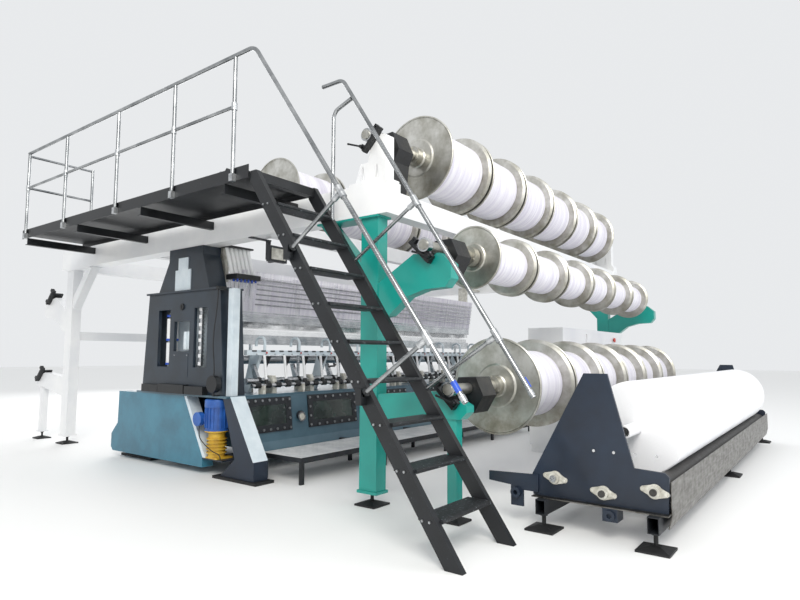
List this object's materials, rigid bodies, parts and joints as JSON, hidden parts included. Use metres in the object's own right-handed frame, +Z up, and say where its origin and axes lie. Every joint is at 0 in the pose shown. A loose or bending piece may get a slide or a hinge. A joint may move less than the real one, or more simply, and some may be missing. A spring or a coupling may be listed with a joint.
{
  "type": "warp knitting machine",
  "caption": "Wide industrial warp knitting machine with rows of sectional yarn beams, knitting bed, end stairs and catwalk, cloth winder, step and control cabinets.",
  "frame": {"origin": "middle of the floor rectangle that the whole machine covers", "axes": "+X along the working width away from the stairs end, +Y from the cloth winder to the rear frames, +Z up"},
  "size_m": [7.99, 9.5639, 4.079],
  "materials": {
    "teal_paint": "teal machine enamel, semi-gloss",
    "white_paint": "white machine enamel, semi-gloss",
    "grey_paint": "grey-blue machine enamel, satin",
    "dark_paint": "black machine enamel, satin",
    "slate_paint": "dark slate enamel, satin",
    "navy_paint": "navy enamel, satin",
    "cover_paint": "blue-teal enamel, semi-gloss",
    "pale_paint": "pale grey enamel, satin",
    "black_iron": "black painted casting",
    "cream_iron": "pale painted casting",
    "bearing_chrome": "ground and polished steel",
    "stainless": "satin stainless tube",
    "shaft_steel": "ground steel",
    "beam_aluminium": "cast aluminium, lightly stained",
    "tread_aluminium": "aluminium tread plate",
    "yarn": "wound synthetic yarn",
    "cloth": "rolled white cloth",
    "roller_rubber": "dark friction covering",
    "pad_rubber": "black levelling foot",
    "motor_blue": "blue motor enamel",
    "pump_yellow": "yellow pump enamel",
    "window_glass": "dark inspection glass over the oil bath",
    "screen": "touch panel",
    "red_button": "emergency stop button",
    "cable_black": "cable sheath",
    "zinc": "zinc-plated bolt heads"
  },
  "bodies": {
    "frame": {"actuators": "white_paint", "bearing_castings": "cream_iron", "bearing_rings": "bearing_chrome", "bed_base": "grey_paint", "bed_end_cover": "cover_paint", "bed_legs": "dark_paint", "cabinet_shell": "white_paint", "clamp_plates": "black_iron", "dome_bolts": "zinc", "drives": "black_iron", "flange_bearings": "cream_iron", "floor_pads": "pad_rubber", "front_frames": "teal_paint", "front_rail": "pale_paint", "handrails": "stainless", "lamp_cable": "cable_black", "lube_motor": "motor_blue", "lube_pump": "pump_yellow", "motor_cable": "cable_black", "pale_covers": "pale_paint", "panel_arm": "dark_paint", "platform_deck": "dark_paint", "push_rods": "shaft_steel", "rail_clamps": "cream_iron", "rear_frames": "white_paint", "stair_stringers": "dark_paint", "stair_treads": "dark_paint", "step_frame": "dark_paint", "step_tread": "tread_aluminium", "top_beams": "white_paint", "tower_shell": "slate_paint", "winder_guard": "shaft_steel", "winder_side_plates": "navy_paint", "winder_tubes": "dark_paint", "window_frames": "dark_paint", "window_panes": "window_glass"},
    "top_row": {"top_row_spools": "beam_aluminium", "top_row_yarn": "yarn"},
    "inner_row": {"inner_row_spools": "beam_aluminium", "inner_row_yarn": "yarn"},
    "mid_row": {"mid_row_spools": "beam_aluminium", "mid_row_yarn": "yarn"},
    "low_row": {"low_row_spools": "beam_aluminium", "low_row_yarn": "yarn"},
    "top_lever": {"lever_top": "black_iron"},
    "mid_lever": {"lever_mid": "black_iron"},
    "low_lever": {"lever_low": "black_iron"},
    "front_carrier": {"carrier_roller_front": "roller_rubber"},
    "back_carrier": {"carrier_roller_back": "roller_rubber"},
    "cloth": {"cloth_roll": "cloth"},
    "guide": {"guide_roller": "shaft_steel"},
    "take_down_front": {"take_down_roller_front": "shaft_steel"},
    "take_down_back": {"take_down_roller_back": "shaft_steel"},
    "rocker": {"rocker_shaft": "shaft_steel"},
    "swing": {"guide_bars": "shaft_steel"},
    "needles": {"needle_bar": "shaft_steel"},
    "door": {"cabinet_door": "white_paint"},
    "button": {"stop_button": "red_button"},
    "panel": {"touch_panel": "screen"},
    "lock": {"tower_lock": "dark_paint"}
  },
  "joints": [
    {"name": "top_row_spin", "type": "hinge", "parent": "frame", "child": "top_row", "pos_m": [0.34, -2.26799, 3.42], "axis": [1, 0, 0], "continuous": true},
    {"name": "inner_row_spin", "type": "hinge", "parent": "frame", "child": "inner_row", "pos_m": [0.34, -0.03799, 3.42], "axis": [1, 0, 0], "continuous": true},
    {"name": "mid_row_spin", "type": "hinge", "parent": "frame", "child": "mid_row", "pos_m": [0.34, -2.92799, 2.3], "axis": [1, 0, 0], "continuous": true},
    {"name": "low_row_spin", "type": "hinge", "parent": "frame", "child": "low_row", "pos_m": [0.34, -3.17299, 1.075], "axis": [1, 0, 0], "continuous": true},
    {"name": "top_lever_turn", "type": "hinge", "parent": "frame", "child": "top_lever", "pos_m": [-3.082, -2.21517, 3.3116], "axis": [1, 0, 0], "range_deg": [-60, 0]},
    {"name": "mid_lever_turn", "type": "hinge", "parent": "frame", "child": "mid_lever", "pos_m": [-3.082, -2.98081, 2.1916], "axis": [1, 0, 0], "range_deg": [-60, 0]},
    {"name": "low_lever_turn", "type": "hinge", "parent": "frame", "child": "low_lever", "pos_m": [-3.082, -3.22581, 0.9666], "axis": [1, 0, 0], "range_deg": [-60, 0]},
    {"name": "front_carrier_spin", "type": "hinge", "parent": "frame", "child": "front_carrier", "pos_m": [0.34, -4.64799, 0.395], "axis": [1, 0, 0], "continuous": true},
    {"name": "back_carrier_spin", "type": "hinge", "parent": "frame", "child": "back_carrier", "pos_m": [0.34, -4.28299, 0.335], "axis": [1, 0, 0], "continuous": true},
    {"name": "cloth_spin", "type": "hinge", "parent": "frame", "child": "cloth", "pos_m": [0.34, -4.40401, 0.77704], "axis": [1, 0, 0], "continuous": true},
    {"name": "guide_roller_spin", "type": "hinge", "parent": "frame", "child": "guide", "pos_m": [0.34, -3.90799, 0.4], "axis": [1, 0, 0], "continuous": true},
    {"name": "take_down_front_spin", "type": "hinge", "parent": "frame", "child": "take_down_front", "pos_m": [0.34, 0.41201, 1.29], "axis": [1, 0, 0], "continuous": true},
    {"name": "take_down_back_spin", "type": "hinge", "parent": "frame", "child": "take_down_back", "pos_m": [0.34, 0.53401, 1.29], "axis": [1, 0, 0], "continuous": true},
    {"name": "rocker_turn", "type": "hinge", "parent": "frame", "child": "rocker", "pos_m": [0.34, -0.14799, 1.04], "axis": [1, 0, 0], "range_deg": [0, 6]},
    {"name": "guide_swing", "type": "hinge", "parent": "frame", "child": "swing", "pos_m": [0.34, 0.33201, 2.33], "axis": [1, 0, 0], "range_deg": [-3, 0]},
    {"name": "needle_lift", "type": "slide", "parent": "frame", "child": "needles", "axis": [0, 0, 1], "range_m": [0, 0.014]},
    {"name": "door_swing", "type": "hinge", "parent": "frame", "child": "door", "pos_m": [3.464, -2.10099, 0.9], "axis": [0, 0, 1], "range_deg": [-105, 0]},
    {"name": "button_press", "type": "slide", "parent": "frame", "child": "button", "axis": [0, 1, 0], "range_m": [0, 0.008], "stiffness_N_per_m": 500},
    {"name": "panel_swivel", "type": "hinge", "parent": "frame", "child": "panel", "pos_m": [-2.785, -0.72799, 2.45], "axis": [0, 0, 1], "range_deg": [-40, 40]},
    {"name": "lock_turn", "type": "hinge", "parent": "frame", "child": "lock", "pos_m": [-3.075, 0.62201, 1.925], "axis": [1, 0, 0], "range_deg": [0, 90]}
  ],
  "couplings": [
    {"joint": "back_carrier_spin", "follows": "cloth_spin", "ratio": -4.725},
    {"joint": "front_carrier_spin", "follows": "cloth_spin", "ratio": -5.04},
    {"joint": "take_down_back_spin", "follows": "take_down_front_spin", "ratio": -1}
  ]
}
